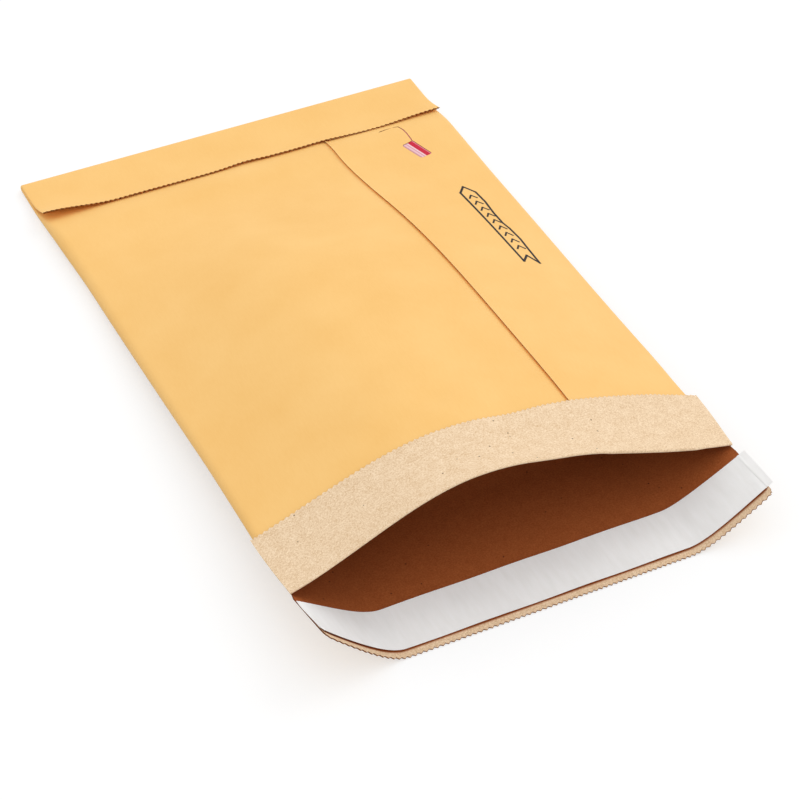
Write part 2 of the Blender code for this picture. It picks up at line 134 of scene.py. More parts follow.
def new_material(name, roughness, specular):
    """An empty finish with its shader, and the object coordinates that its patterns read."""
    material = bpy.data.materials.new(name)
    material.use_nodes = True
    tree = material.node_tree
    shader = tree.nodes["Principled BSDF"]
    shader.inputs["Roughness"].default_value = roughness
    shader.inputs["Specular IOR Level"].default_value = specular
    place = add_node(tree, "ShaderNodeTexCoord", {}).outputs["Object"]
    return material, tree, shader, place


def noise_finish(name, roughness, specular, sizes, stops, relief=None, **noise):
    """A finish whose colour, and relief if it has any, follow one noise of these sizes."""
    material, tree, shader, place = new_material(name, roughness, specular)
    scale = tuple(1 / size for size in sizes)
    scaled = add_node(tree, "ShaderNodeMapping", {"Scale": scale}, {"Vector": place})
    noise = {"Scale": 1.0, "Detail": 2.0, **noise}
    pattern = add_node(tree, "ShaderNodeTexNoise", noise, {"Vector": scaled.outputs["Vector"]})
    height = pattern.outputs["Fac"]
    colour = add_node(tree, "ShaderNodeValToRGB", {}, {"Fac": height}, stops)
    tree.links.new(colour.outputs["Color"], shader.inputs["Base Color"])
    if relief:
        bump = add_node(tree, "ShaderNodeBump", relief, {"Height": height})
        tree.links.new(bump.outputs["Normal"], shader.inputs["Normal"])
    return material


print("helpers ready; gold kraft is", [round(value, 3) for value in linear("#FAC97F")])

# %% [markdown]
# ## The folded tube, as a shape
#
# Paper bends but does not stretch, so the envelope is best described the way it is made: a
# flat blank, ruled with columns across the tube and rows along it, and a rule for where each
# ruling lies when the blank is folded. Column q runs round the tube: -1 to 1 is the front
# panel, 1 to 2 the right side fold, 2 to 4 the back panel from right to left, and 4 to 5 the
# left side fold. Row v is the distance along the paper from the mouth fold. The sizes are
# those of the model.

# %% Sizes of the envelope
TUBE_WIDTH = 0.184
POUCH_LENGTH = 0.2794
FLAP_LENGTH = 0.0305
CUFF_DEPTH = 0.0315
FOLD_OVER_DEPTH = 0.0300
PLY = 0.00018
GAP = 0.00008
FOLD_GAP = 0.00050
PADDING = 0.0018
PADDING_START = 0.0330
PADDING_RAMP = 0.0130
RAMP_START = 0.35
INNER_PAPER_END = 0.0255
SEAL_LENGTH = 0.0150
SIDE_RADIUS = 0.0034
MOUTH_SIDE_RADIUS = 0.0012
POUCH_ARCH = 0.0230
MOUTH_FLARE = 0.0043
CORNER_FLARE = 0.0018
FLARE_LENGTH = 0.0340
ARCH_PEAK_X = -0.0170
MOUTH_ROUNDNESS = 0.45
LIFT_LENGTH = 0.2000
LIFT_POWER = 1.25
RISE_SOFTNESS = 0.35
SEAM_X = 0.0360
SEAM_OVERLAP = 0.0175
SEAM_RAMP = 0.045
TAPE_X = 0.0672
TAPE_WIDTH = 0.0062
TAPE_START = 0.0460
TAPE_END = 0.0300
ADHESIVE_START = 0.0095
ADHESIVE_WIDTH = 0.0150
LINER_START = 0.0064
LINER_WIDTH = 0.0206
LINER_STOP = LINER_START + LINER_WIDTH
# Width of the painted shadow line that the liner's edge casts on the flap
PAINTED_SHADOW_LINE = 0.0009
STRIP_THICKNESS = 0.00015
LINER_OVERHANG = {1: 0.0024, -1: 0.0012}
# Each side, right 1 and left -1: draw-in of its mouth corner, taper of the flap, pull of the
# padding (how far in, full from, fading from, gone at), curl of the back panel at the mouth and
# on to the flap's tip, where it leaves the table, spread of the cuff, roundness of the arch
SIDES = {
    1: {
        "narrowing": 0.0048, "taper": 0.0008, "waist": (0.0035, 0.0450, 0.0360, 0.2070),
        "lift": 0.0130, "tip_lift": 0.0030, "flat": 0.0540, "spread": 0.0020, "roundness": 0.90,
    },
    -1: {
        "narrowing": 0.0010, "taper": 0.0, "waist": (0.0018, 0.0850, 0.1944, 0.2494),
        "lift": 0.0145, "tip_lift": 0.0085, "flat": 0.0590, "spread": 0.0004, "roundness": 0.60,
    },
}

HALF_WIDTH = TUBE_WIDTH / 2
SEAL_HEIGHT = 0.0013
BOTTOM_FOLD_RADIUS = SEAL_HEIGHT + FOLD_GAP / 2
FOLD_START = POUCH_LENGTH - BOTTOM_FOLD_RADIUS
RISE_FULL = math.hypot(1.0, RISE_SOFTNESS) - RISE_SOFTNESS
BOTTOM_FOLD_PAPER = math.pi * BOTTOM_FOLD_RADIUS / 2
MOUTH_FOLD_PAPER = math.pi * (GAP / 2 + PLY)
LAYER = PLY + GAP
PADDING_STOP = POUCH_LENGTH - FOLD_OVER_DEPTH
CENTRE_Y = (POUCH_LENGTH - FLAP_LENGTH) / 2
RIGHT_SLIT = 1.5
LEFT_SLIT = 4.5
ROUND = 6.0
print("the pouch is", TUBE_WIDTH * 1000, "by", POUCH_LENGTH * 1000, "mm")

# %% [markdown]
# The open mouth gives the tube a different outline at each distance from it: the front panel
# arches, the back panel lies flat in the middle and curls up at its sides, and a rounded fold
# joins the two. First the measures of that outline along the envelope.


# %% Measures along the envelope
def ease(share):
    """Go smoothly from 0 to 1 as the share goes from 0 to 1."""
    share = min(max(share, 0.0), 1.0)
    return share * share * (3.0 - 2.0 * share)


def mix(first, second, share):
    """Value between two, at a share of the way."""
    return first + (second - first) * share


def padding_share(y):
    """Share of its full thickness that the padding has at a distance y."""
    at_mouth = ease((y - PADDING_START) / PADDING_RAMP)
    return at_mouth * ease((PADDING_STOP - y) / PADDING_RAMP)


def side_radius(y):
    """Radius of the folded side: tight at the mouth and the seal, full round the padding."""
    mouth = MOUTH_SIDE_RADIUS
    padded = mouth + (SIDE_RADIUS - mouth) * ease(y / (PADDING_START + PADDING_RAMP))
    ramp_start = PADDING_STOP - PADDING_RAMP
    seal_start = POUCH_LENGTH - SEAL_LENGTH
    flattened = ease((y - ramp_start) / (seal_start - ramp_start))
    return padded + (SEAL_HEIGHT / 2 - padded) * flattened


def arch_rise(y):
    """Height of the front panel's arch above its own side folds."""
    pillow = (max(y, 0.0) / (PADDING_STOP - PADDING_RAMP)) ** 3
    return POUCH_ARCH * (1.0 - ease(pillow)) + MOUTH_FLARE * flare(y)


def flare(y):
    """Share of its extra height that the open mouth has left at a distance y."""
    return max(0.0, 1.0 - max(y, 0.0) / FLARE_LENGTH) ** 2


def side_lift(y, at_mouth, at_tip):
    """Height of the back panel's edge above the table; it curls on past the mouth."""
    corner = CORNER_FLARE * flare(y)
    if y < 0.0:
        return at_mouth + corner + at_tip * (-y / FLAP_LENGTH)
    return corner + at_mouth * max(0.0, 1.0 - y / LIFT_LENGTH) ** LIFT_POWER


def waist(y, pull, full_from, fades_from, gone_at):
    """How far the bulging padding pulls a side in at a distance y."""
    return pull * ease(y / full_from) * ease((gone_at - y) / (gone_at - fades_from))


def rise_height(share):
    """Height of the back panel's curl, from 0 where it leaves the table to 1 at its edge."""
    return (math.hypot(share, RISE_SOFTNESS) - RISE_SOFTNESS) / RISE_FULL


def rise_slope(share):
    """Steepness of that curl."""
    return share / math.hypot(share, RISE_SOFTNESS) / RISE_FULL


print("the arch is", round(arch_rise(0.0) * 1000, 1), "mm high at the mouth")

# %% [markdown]
# The class puts them together. It gives a point of the outline and the direction that points
# out of the paper there.


# %% Outline across the envelope
class Section:
    """Outline across the envelope at a distance y from the mouth."""

    def __init__(self, y):
        inside = max(y, 0.0)
        self.radius = side_radius(inside)
        openness = max(0.0, 1.0 - inside / (PADDING_START * 2)) ** 2
        laid_back = ease(inside / CUFF_DEPTH)
        self.sides = {}
        for hand, size in SIDES.items():
            narrowing = size["narrowing"] * openness + waist(inside, *size["waist"])
            narrowing += size["taper"] * (inside - y) / FLAP_LENGTH
            lift = side_lift(y, size["lift"], size["tip_lift"])
            self.sides[hand] = {
                **self.side(lift, size["flat"], narrowing, hand * ARCH_PEAK_X),
                "spread": size["spread"] * laid_back,
                "roundness": mix(MOUTH_ROUNDNESS, size["roundness"], laid_back),
            }
        shoulder = (self.sides[1]["shoulder"] + self.sides[-1]["shoulder"]) / 2
        self.peak = shoulder + arch_rise(y)
        for side in self.sides.values():
            slope = 2 * side["roundness"] * (self.peak - side["shoulder"]) / side["reach"]
            side["fall"] = math.atan(slope)

    def side(self, lift, flat, narrowing, peak_x):
        """Measures of one side, as if it were the right one."""
        centre_x = HALF_WIDTH - narrowing - self.radius
        climb = math.atan(lift / (centre_x - flat) * rise_slope(1.0))
        return {
            "centre_x": centre_x, "peak_x": peak_x, "reach": centre_x - peak_x,
            "lift": lift, "flat": flat, "climb": climb,
            "centre_z": lift + self.radius * math.cos(climb),
            "shoulder": lift + self.radius * (1.0 + math.cos(climb)),
        }

    def panel_end(self, side):
        """Distance from the middle at which the front panel meets the side fold."""
        return side["centre_x"] + self.radius * math.sin(side["fall"])

    def top(self, q):
        """Front panel; the right and the left slope of its arch meet at the peak."""
        x = q * self.panel_end(self.sides[1 if q > 0.0 else -1])
        slope_hand = 1 if x > ARCH_PEAK_X else -1
        side = self.sides[slope_hand]
        end = self.panel_end(side)
        drop = self.radius * (1.0 - math.cos(side["fall"]))
        s = (slope_hand * x - side["peak_x"]) / (end - side["peak_x"])
        roundness = side["roundness"]
        bump = roundness * (1.0 - s * s) + (1.0 - roundness) * math.cos(math.pi * s / 2) ** 2
        bump_slope = -2.0 * roundness * s
        bump_slope -= (1.0 - roundness) * math.pi / 2 * math.sin(math.pi * s)
        low = side["shoulder"] - drop
        slope = (self.peak - low) * bump_slope / (end - side["peak_x"])
        length = math.hypot(slope, 1.0)
        across = -slope_hand * slope / length
        return x, low + (self.peak - low) * bump, across, 1.0 / length

    def bottom(self, side, share):
        """Back panel: flat on the table, then rising to the side fold."""
        end = side["centre_x"] + self.radius * math.sin(side["climb"])
        x = share * end
        rise = max(0.0, (x - side["flat"]) / (end - side["flat"]))
        slope = side["lift"] * rise_slope(rise) / (end - side["flat"])
        length = math.hypot(slope, 1.0)
        return x, side["lift"] * rise_height(rise), slope / length, -1.0 / length

    def fold(self, side, share):
        """Rounded side fold, from the front panel at 0 to the back panel at 1."""
        start = math.pi / 2 - side["fall"]
        stop = -math.pi / 2 + side["climb"]
        angle = start + share * (stop - start)
        across, up = math.cos(angle), math.sin(angle)
        x = side["centre_x"] + self.radius * across
        return x, side["centre_z"] + self.radius * up, across, up

    def fold_paper(self, side):
        """Length of the paper round a side fold."""
        return self.radius * (math.pi - side["fall"] - side["climb"])

    def front_tongue(self, side, share):
        """The slit edge of the cuff runs straight on from the front panel."""
        x, height, across, up = self.fold(side, 0.0)
        length = share / (RIGHT_SLIT - 1.0) * (self.fold_paper(side) / 2 + side["spread"])
        return x + length * up, height - length * across, across, up

    def back_tongue(self, side, share):
        """The slit edge of the flap runs straight on from the back panel."""
        x, height, across, up = self.fold(side, 1.0)
        length = (1.0 - share) * self.fold_paper(side)
        return x - length * up, height + length * across, across, up

    def outline(self, q, slit):
        """Point and outward direction at column q, as x, height, across and up."""
        q = (q + 1.0) % ROUND - 1.0
        if q <= 1.0 and slit != "flap":
            return self.top(q)
        hand = 1 if q < 3.0 else -1
        side = self.sides[hand]
        folds = {"": self.fold, "cuff": self.front_tongue, "flap": self.back_tongue}
        if 2.0 <= q <= 4.0:
            x, height, across, up = self.bottom(side, abs(3.0 - q))
        else:
            x, height, across, up = folds[slit](side, q - 1.0 if hand > 0 else 5.0 - q)
        return hand * x, height, hand * across, up


section_at = functools.cache(Section)
mouth = section_at(0.0)
print("the mouth stands", round(mouth.peak * 1000, 1), "mm high")

# %% [markdown]
# A smooth arch would look like sheet metal. Real padded paper is a little slack: creases run
# back from the middle of the cuff, the arch dips beside its peak, and the fibre below swells
# it here and there by tenths of a millimetre. This small height is added along the outward
# direction of every layer alike, so that the layers keep their distances.

# %% Slack of the front panel
SWELL_SIDE_MARGIN = 0.006
SWELL_FADE = 0.014
SWELL_END_FADE = 0.030
SWELL_HEIGHT = 0.00016
SWELL_WAVE_X = 0.0135
SWELL_WAVE_Y = 0.0210
SWELL_PHASE_X = 1.3
SWELL_PHASE_Y = 0.4
DIAGONAL_SHARE = 0.6
DIAGONAL_SLOPE = 0.7
CREASE_START = 0.0345
CREASE_FADE = 0.0060
# Each crease: where it starts and ends (x, distance from the mouth), half width, height
CREASES = (
    ((0.0060, 0.0660), (-0.0120, 0.0480), 0.0050, -0.00060),
    ((-0.0120, 0.0480), (-0.0400, 0.0405), 0.0045, -0.00050),
    ((-0.0040, 0.0720), (-0.0360, 0.0540), 0.0085, 0.00045),
    ((0.0085, 0.0560), (0.0000, 0.0420), 0.0050, 0.00035),
)
# Where the arch dips beside its peak: middle, half widths and depth
DIP_MIDDLE = (0.0100, 0.0340)
DIP_SIZE = (0.0115, 0.0450)
DIP_DEPTH = 0.0015


def dip(x, y):
    """Depth of the dip that runs back from the mouth beside the peak of the arch."""
    away_x, away_y = (x - DIP_MIDDLE[0]) / DIP_SIZE[0], (y - DIP_MIDDLE[1]) / DIP_SIZE[1]
    return DIP_DEPTH * math.exp(-away_x ** 2 - away_y ** 2)


def crease_height(x, y):
    """Height of the creases near the cuff at a place on the front panel."""
    height = 0.0
    for (start_x, start_y), (end_x, end_y), half_width, rise in CREASES:
        along_x, along_y = end_x - start_x, end_y - start_y
        share = (x - start_x) * along_x + (y - start_y) * along_y
        share = min(max(share / (along_x ** 2 + along_y ** 2), 0.0), 1.0)
        away = math.hypot(x - start_x - share * along_x, y - start_y - share * along_y)
        height += rise * math.exp(-(away / half_width) ** 2)
    return height * ease((y - CREASE_START) / CREASE_FADE)


def swell(x, y):
    """Small height that the slack front panel adds to the smooth arch."""
    inside = ease((HALF_WIDTH - SWELL_SIDE_MARGIN - abs(x)) / SWELL_FADE)
    inside *= ease((PADDING_STOP - y) / SWELL_END_FADE)
    wave = math.sin(x / SWELL_WAVE_X + SWELL_PHASE_X)
    wave *= math.sin(y / SWELL_WAVE_Y + SWELL_PHASE_Y)
    wave += DIAGONAL_SHARE * math.sin((x - DIAGONAL_SLOPE * y) / SWELL_WAVE_X)
    return inside * (SWELL_HEIGHT * wave + crease_height(x, y) - dip(x, y))


def inset_point(section, y, q, depth, slit=""):
    """Point a given depth inside the outline, with the slack added on the front panel."""
    x, height, across, up = section.outline(q, slit)
    if (q + 1.0) % ROUND <= 2.0:
        depth -= swell(x, y)
    return x - across * depth, height - up * depth


print("deepest crease, mm:", round(crease_height(-0.01, 0.05) * 1000, 2))

# %% [markdown]
# Now the rules that lay the blank. The tube runs to the bottom fold, and the last 30 mm are
# turned over onto the front. That end was pressed down by hand: it stands a little open at
# its left corner, and its cut edge wanders. The cuff is the same paper folded outwards, and
# the flap runs straight on from the back panel to two rounded corners.

# %% Where each part of the blank lies
# How high each corner of the turned-over end stands open, and how far along its edge
OPEN_CORNERS = {1: (0.0006, 0.0300), -1: (0.0042, 0.0340)}
EDGE_LIFT = 0.00012
EDGE_WAVE = 0.011
PRESSED_GAP = 0.00015
PRESSED_BY = 0.00055
PRESSED_FROM = PLY * 2.5
FLAP_CORNER_RADIUS = {1: 0.0025, -1: 0.0042}
# Where the cut edge of the turned-over end wanders: x, half width, shift away from the mouth
EDGE_WANDER = ((-0.0010, 0.0090, 0.0011), (0.0610, 0.0150, -0.0010), (0.0360, 0.0080, 0.0004))


def corner_curl(x):
    """How far the cut edge of the turned-over end stands off the front panel."""
    curl = EDGE_LIFT * (1.0 + math.sin(x / EDGE_WAVE))
    for hand, (lift, reach) in OPEN_CORNERS.items():
        curl += lift * ease((reach - HALF_WIDTH + hand * x) / reach)
    return curl


def edge_wander(x):
    """How far the cut edge of the turned-over end is from a straight line."""
    return sum(shift * math.exp(-((x - at) / half) ** 2) for at, half, shift in EDGE_WANDER)


def lay_tube(q, v, depth):
    """Body of the tube, the bottom fold and the end that is turned over the front panel."""
    turned = v - FOLD_START - BOTTOM_FOLD_PAPER
    along = min(v, FOLD_START)
    x, height = inset_point(section_at(along), along, q, depth)
    if v <= FOLD_START:
        return x, v - CENTRE_Y, height
    if turned < 0.0:
        angle = math.pi * (v - FOLD_START) / BOTTOM_FOLD_PAPER
        reach = BOTTOM_FOLD_RADIUS - height
        y = FOLD_START + reach * math.sin(angle)
        return x, y - CENTRE_Y, BOTTOM_FOLD_RADIUS - reach * math.cos(angle)
    y = FOLD_START - turned
    share = turned / FOLD_OVER_DEPTH
    under = section_at(y).peak + mix(FOLD_GAP, PRESSED_GAP, share) + corner_curl(x) * share ** 2
    layer = SEAL_HEIGHT - height
    pressed = ease((layer - PRESSED_FROM) / (SEAL_HEIGHT - PLY - PRESSED_FROM))
    layer -= PRESSED_BY * share * pressed
    return x, y + edge_wander(x) * share - CENTRE_Y, under + layer


def lay_cuff(q, v, depth):
    """Front panel past the mouth: folded outwards and back over itself."""
    laid_back = -v - MOUTH_FOLD_PAPER
    if laid_back < 0.0:
        angle = math.pi * -v / MOUTH_FOLD_PAPER
        reach = GAP / 2 + depth
        slit = "cuff" if v < 0.0 else ""
        bend = reach * math.cos(angle) - GAP / 2
        x, height = inset_point(section_at(0.0), 0.0, q, bend, slit)
        return x, -reach * math.sin(angle) - CENTRE_Y, height
    x, height = inset_point(section_at(laid_back), laid_back, q, -GAP - depth, "cuff")
    return x, laid_back - CENTRE_Y, height


def lay_flap(q, v, depth):
    """Back panel past the mouth: the closure flap, its ends curling up."""
    slit = "flap" if v < 0.0 else ""
    x, height = inset_point(section_at(v), v, q, depth, slit)
    return x, v - CENTRE_Y, height


def lay_rounded_flap(q, v, depth):
    """The flap with its two outer corners rounded off."""
    hand = 1 if q < 3.0 else -1
    turn = q if hand > 0 else ROUND - q
    tongue = mouth.fold_paper(mouth.sides[hand])
    away = (min(turn, 2.0) - RIGHT_SLIT) * tongue + max(turn - 2.0, 0.0) * HALF_WIDTH
    radius = FLAP_CORNER_RADIUS[hand]
    short = radius - math.sqrt(radius ** 2 - (radius - min(away, radius)) ** 2)
    return lay_flap(q, v * (1.0 - short / FLAP_LENGTH), depth)


print("left corner stands open by", round(corner_curl(-HALF_WIDTH) * 1000, 1), "mm")

# %% [markdown]
# ## Ruling the blank
#
# The cut edges of this mailer are serrated by the knife that parts it from the web, with a
# tooth about every 2.1 mm. If the columns are half a tooth apart, every second vertex of the
# last row only has to be drawn in, and the teeth are there. All layers share the columns, so
# that they bend at the same places and never cross.

# %% Columns and rows
TOOTH_PITCH = 0.0021
TOOTH_DEPTH = 0.0008
ROW_STEP = 0.0036
SIDE_STEPS = 8
MOUTH_FOLD_STEPS = 8
BOTTOM_FOLD_STEPS = 10


def top_column(x):
    """Column of the front panel at a distance x to the right of the middle."""
    return x / (HALF_WIDTH - SIDE_RADIUS)


COLUMN_STEP = top_column(TOOTH_PITCH / 2)
SEAM_COLUMN = top_column(SEAM_X)
OVERLAP_COLUMN = top_column(SEAM_X + SEAM_OVERLAP)
TAPE_LEFT_COLUMN = top_column(TAPE_X - TAPE_WIDTH / 2)
TAPE_RIGHT_COLUMN = top_column(TAPE_X + TAPE_WIDTH / 2)


def ruled(stops, step):
    """Rulings through all the stops, about a step apart."""
    values = [stops[0]]
    for start, stop in zip(stops, stops[1:]):
        count = max(1, round((stop - start) / step))
        values += [start + (stop - start) * number / count for number in range(1, count + 1)]
    return values


def sheet_columns():
    """All round the outer paper, from its free edge to the edge tucked under it."""
    right = [SEAM_COLUMN, OVERLAP_COLUMN, TAPE_LEFT_COLUMN, TAPE_RIGHT_COLUMN]
    right += [TAPE_RIGHT_COLUMN + SEAM_RAMP, TAPE_RIGHT_COLUMN + 2 * SEAM_RAMP, 1.0]
    under_seam = ROUND + SEAM_COLUMN
    left = [5.0, under_seam - SEAM_RAMP, under_seam, ROUND + OVERLAP_COLUMN]
    columns = ruled(right, COLUMN_STEP)
    columns += ruled([1.0, 2.0], 1.0 / SIDE_STEPS)[1:] + ruled([2.0, 4.0], COLUMN_STEP)[1:]
    return columns + ruled([4.0, 5.0], 1.0 / SIDE_STEPS)[1:] + ruled(left, COLUMN_STEP)[1:]


def tube_columns():
    """Once round a closed tube, from the right slit and back to it."""
    once = picked(sheet_columns(), SEAM_COLUMN, ROUND + SEAM_COLUMN)
    twice = once + [ROUND + q for q in once[1:]]
    return picked(twice, RIGHT_SLIT, RIGHT_SLIT + ROUND)


def picked(columns, start, stop):
    """The columns from start to stop."""
    return [q for q in columns if start - 1e-9 <= q <= stop + 1e-9]


def tucked(q):
    """Share of the step in under the seam that a paper has taken at column q."""
    return min(max((q - SEAM_COLUMN + SEAM_RAMP) / SEAM_RAMP, 0.0), 1.0)


def recess(q):
    """Step inwards of the layers under the seam's overlap and the tear tape."""
    q = (q + 1.0) % ROUND - 1.0
    if q > 1.0:
        return 0.0
    out_again = min(max((TAPE_RIGHT_COLUMN + 2 * SEAM_RAMP - q) / SEAM_RAMP, 0.0), 1.0)
    return LAYER * min(tucked(q), out_again)


def outer_depth(q, v):
    """The outer paper tucks under its own free edge at the seam."""
    return LAYER * tucked(q - ROUND)


def inner_depth(q, v):
    """The inner paper lies under the outer one, or under the padding where there is any."""
    return LAYER + recess(q) + (PADDING + GAP) * padding_share(v)


def body_rows(stop):
    return ruled([0.0, CUFF_DEPTH, stop], ROW_STEP)


def turned_rows():
    bend_end = FOLD_START + BOTTOM_FOLD_PAPER
    bend = ruled([FOLD_START, bend_end], BOTTOM_FOLD_PAPER / BOTTOM_FOLD_STEPS)
    last = bend_end + FOLD_START - PADDING_STOP
    return bend + ruled([bend_end, last], ROW_STEP)[1:]


def cuff_rows():
    bend = ruled([-MOUTH_FOLD_PAPER, 0.0], MOUTH_FOLD_PAPER / MOUTH_FOLD_STEPS)
    laid = ruled([-MOUTH_FOLD_PAPER - CUFF_DEPTH, -MOUTH_FOLD_PAPER], ROW_STEP)
    return laid[:-1] + bend


def flap_rows():
    return ruled([-FLAP_LENGTH, -LINER_STOP - PAINTED_SHADOW_LINE, -LINER_STOP, 0.0], ROW_STEP)


print("columns round the outer paper:", len(sheet_columns()))

# %% [markdown]
# ## Making a sheet
#
# Each panel starts as a flat grid from the Add menu, one vertex to a ruling. Its vertices are
# moved to where the folded paper has them, the panels of a sheet are joined, their common
# edges merged, and Solidify gives the paper its thickness towards the inside.


# %% Sheet builders
SHARP_ANGLE = math.radians(42)


def make_active(item):
    bpy.ops.object.select_all(action="DESELECT")
    item.select_set(True)
    bpy.context.view_layer.objects.active = item


def apply_modifier(item, kind, **settings):
    """Add a modifier to the active object, set it and apply it."""
    modifier = item.modifiers.new(kind.lower(), kind)
    for name, value in settings.items():
        setattr(modifier, name, value)
    bpy.ops.object.modifier_apply(modifier=modifier.name)


def add_panel(columns, rows, lay, toothed_row=None, tone=None):
    """A grid with a vertex for each ruling, laid in place, with one row cut into teeth."""
    across, along = len(columns) - 1, len(rows) - 1
    bpy.ops.mesh.primitive_grid_add(x_subdivisions=across, y_subdivisions=along, size=1.0)
    panel = bpy.context.object
    toothed = None if toothed_row is None else toothed_row % len(rows)
    inwards = math.copysign(TOOTH_DEPTH, 1 if toothed == 0 else -1)
    # tone gives each vertex its share of painted shade, kept in the attribute inside
    if tone:
        painted_shades = panel.data.attributes.new("inside", "FLOAT", "POINT")
    for vertex in panel.data.vertices:
        column = round((vertex.co.x + 0.5) * across)
        row = round((vertex.co.y + 0.5) * along)
        v = rows[row]
        if row == toothed and column % 2 == 1:
            v += inwards
        vertex.co = lay(columns[column], v)
        if tone:
            painted_shades.data[vertex.index].value = tone(v)
    return panel


def join_parts(name, parts):
    """One object from several, under the name of its piece."""
    make_active(parts[0])
    for part in parts:
        part.select_set(True)
    if len(parts) > 1:
        bpy.ops.object.join()
    whole = bpy.context.object
    whole.name = name
    return whole


def join_panels(name, panels, thickness, face, cut_edge, fill=None):
    """A sheet with merged edges, finishes and a thickness, which a fill rule may thin."""
    sheet = join_parts(name, panels)
    sheet.data.materials.append(face)
    sheet.data.materials.append(cut_edge)
    bpy.ops.object.mode_set(mode="EDIT")
    bpy.ops.mesh.select_all(action="SELECT")
    bpy.ops.mesh.remove_doubles(threshold=1e-6)
    bpy.ops.object.mode_set(mode="OBJECT")
    wall = {"thickness": thickness, "offset": -1.0, "use_quality_normals": True}
    if fill:
        group = sheet.vertex_groups.new(name="fill")
        for vertex in sheet.data.vertices:
            group.add([vertex.index], fill(vertex.co.y + CENTRE_Y), "REPLACE")
        wall["vertex_group"] = group.name
    apply_modifier(sheet, "SOLIDIFY", material_offset_rim=1, **wall)
    return sheet


def finish_piece(piece, node):
    make_active(piece)
    bpy.ops.object.shade_smooth_by_angle(angle=SHARP_ANGLE)
    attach(piece, "root")
    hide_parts(node)
    print(piece.name, "has", len(piece.data.polygons), "faces")


def laid_at(lay, depth):
    """A laying rule at a depth that varies over the blank."""
    return lambda q, v: lay(q, v, depth(q, v))


print("sheet builders ready")

# %% [markdown]
# ## Gold kraft paper
#
# The outside of the mailer is kraft paper dyed gold in the pulp. The machine lays most fibres
# along the web, here along the envelope, so its faint streaks run that way. It is calendered:
# smooth, with a dull sheen. Real fibres are 30 micrometres wide, too fine for the picture, so
# the streaks are drawn about 0.5 mm wide, with a soft cloudiness of 25 mm from uneven pulp.
# Where the knife cuts, the core is bare: brown, unglazed and full of loose fibre ends.

# %% Gold kraft finish
FIBRE_WIDTH = 0.0005
FIBRE_LENGTH = 0.0040
CLOUD_SIZE = 0.0250


def gold_kraft():
    material, tree, shader, place = new_material(
        "gold calendered kraft paper", roughness=0.58, specular=0.28,
    )
    stretched = add_node(
        tree, "ShaderNodeMapping",
        {"Scale": (1 / FIBRE_WIDTH, 1 / FIBRE_LENGTH, 1 / FIBRE_WIDTH)}, {"Vector": place},
    )
    fibres = add_node(
        tree, "ShaderNodeTexNoise", {"Scale": 1.0, "Detail": 3.0, "Roughness": 0.6},
        {"Vector": stretched.outputs["Vector"]},
    )
    clouds = add_node(
        tree, "ShaderNodeTexNoise", {"Scale": 1 / CLOUD_SIZE, "Detail": 2.0}, {"Vector": place},
    )
    tone = add_node(
        tree, "ShaderNodeMix", {"Factor": 0.65},
        {2: fibres.outputs["Fac"], 3: clouds.outputs["Fac"]},
    )
    colour = add_node(
        tree, "ShaderNodeValToRGB", {}, {"Fac": tone.outputs[0]},
        stops=((0.30, "#FAC573"), (0.72, "#FFCE80")),
    )
    tree.links.new(colour.outputs["Color"], shader.inputs["Base Color"])
    bump = add_node(
        tree, "ShaderNodeBump", {"Strength": 0.12, "Distance": 0.00005},
        {"Height": fibres.outputs["Fac"]},
    )
    tree.links.new(bump.outputs["Normal"], shader.inputs["Normal"])
    return material


gold = gold_kraft()
cut_edge = noise_finish(
    "cut edge of kraft paper", roughness=0.95, specular=0.05, sizes=(FIBRE_WIDTH,) * 3,
    stops=((0.35, "#5A220C"), (0.70, "#8E4A24")),
)
print("finishes:", gold.name, "and", cut_edge.name)

# %% [markdown]
# ## The outer sleeve
#
# One sheet: tube, overlapped lengthwise seam, cuff, flap and turned-over end. The seam's free
# edge lies on top at 36 mm to the right of the middle; the other edge is tucked under it. The
# tab window and the curved thumb cut above it are then punched out with a Boolean, as the
# die does it.

# %% Outer sleeve
WINDOW_LENGTH = 0.0129
WINDOW_WIDTH = 0.0061
WINDOW_TURN = 0.255
WINDOW_FROM_FOLD = 0.0547
WINDOW_V = POUCH_LENGTH - WINDOW_FROM_FOLD
WINDOW_X = TAPE_X + 0.0014
WINDOW_Y = WINDOW_V - CENTRE_Y
WINDOW_HEIGHT = inset_point(section_at(WINDOW_V), WINDOW_V, top_column(WINDOW_X), 0.0)[1]
WINDOW_CORNER = 0.0010
THUMB_CUT_WIDTH = 0.00050
FREE_EDGE_LIP = 0.00060
# Thumb cut from under the turned-over end to the window's far corner: x and y
THUMB_CUT = (
    (0.0600, 0.1202), (0.0637, 0.1208), (0.0667, 0.1211), (0.0692, 0.1203), (0.0698, 0.1166),
    (0.0699, 0.1128), (0.0697, 0.1084), (0.0693, 0.1052),
)


def sleeve_depth(q, v):
    """The free edge at the seam curls up a little, because only its inner strip is glued."""
    lip = FREE_EDGE_LIP * max(0.0, 1.0 - (q - SEAM_COLUMN) / COLUMN_STEP)
    return outer_depth(q, v) - (lip if 0.0 < q < 1.0 else 0.0)


def outer_sheet():
    columns = sheet_columns()
    tube = laid_at(lay_tube, sleeve_depth)
    cuff = laid_at(lay_cuff, outer_depth)
    flap = laid_at(lay_rounded_flap, outer_depth)
    panels = [
        add_panel(columns, body_rows(FOLD_START), tube),
        add_panel(columns, turned_rows(), tube, toothed_row=-1),
        add_panel(picked(columns, columns[0], RIGHT_SLIT), cuff_rows(), cuff, toothed_row=0),
        add_panel(picked(columns, LEFT_SLIT, columns[-1]), cuff_rows(), cuff, toothed_row=0),
        add_panel(picked(columns, RIGHT_SLIT, LEFT_SLIT), flap_rows(), flap, toothed_row=0),
    ]
    return join_panels("gold_paper_sleeve", panels, PLY, gold, cut_edge)


